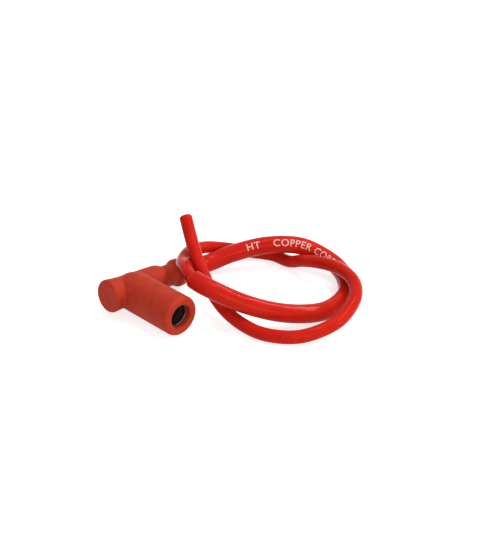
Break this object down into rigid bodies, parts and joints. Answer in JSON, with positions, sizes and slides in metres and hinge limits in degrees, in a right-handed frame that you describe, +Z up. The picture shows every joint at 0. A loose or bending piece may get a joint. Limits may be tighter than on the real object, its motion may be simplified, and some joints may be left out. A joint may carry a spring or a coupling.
{
  "type": "spark plug wire",
  "caption": "Right-angle silicone spark plug cap on a red high-tension lead that lies in loose turns, with a printed sleeve and a bare cut end.",
  "frame": {"origin": "under the middle of the cap, on the surface that the part lies on", "axes": "-Y out of the cap's plug mouth, +X from the knob to the collar that the lead leaves by, +Z up from the surface"},
  "size_m": [0.1051, 0.0937, 0.0364],
  "materials": {
    "boot": "matte",
    "lead": "gloss",
    "sleeve": "gloss",
    "copper": "stranded copper",
    "steel": "satin",
    "brass": "satin",
    "plastic": "matte",
    "ceramic": "matte"
  },
  "bodies": {
    "root": {"cap_boot": "boot", "mouth_ring": "steel", "insulating_housing": "plastic", "plug_socket": "brass", "socket_clip": "steel", "resistor_rod": "ceramic", "resistor_cap_front": "brass", "resistor_cap_back": "brass", "contact_spring": "steel", "cable_terminal": "brass", "lead_insulation": "lead", "lead_sleeve": "sleeve", "lead_core": "copper"}
  },
  "joints": []
}
